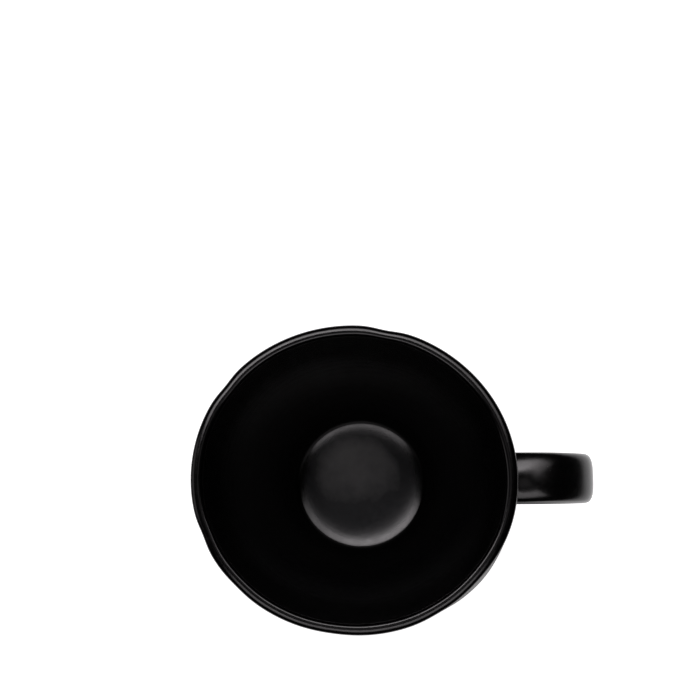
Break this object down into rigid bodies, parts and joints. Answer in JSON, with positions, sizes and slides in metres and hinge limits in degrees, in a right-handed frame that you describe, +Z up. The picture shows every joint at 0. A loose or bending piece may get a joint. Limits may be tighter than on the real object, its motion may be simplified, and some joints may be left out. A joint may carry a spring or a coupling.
{
  "type": "ceramic mug",
  "caption": "Hand-formed oval ceramic mug with a rounded lip, a turned foot ring and one strap handle, glazed satin black except for the bare foot.",
  "frame": {"origin": "centre of the foot ring's standing face, on the cup's axis", "axes": "+Z up along the cup's axis, +X from the cup's axis through the handle"},
  "size_m": [0.1235, 0.0933, 0.092],
  "materials": {
    "clay": "bare fired stoneware, fine and matte",
    "slip": "fired joining slip, matte",
    "black_glaze": "satin black glaze"
  },
  "bodies": {
    "root": {"cup_body": "clay", "handle": "clay", "upper_slip_joint": "slip", "lower_slip_joint": "slip", "liner_glaze": "black_glaze", "wall_glaze": "black_glaze", "handle_glaze": "black_glaze", "base_glaze": "black_glaze"}
  },
  "joints": []
}
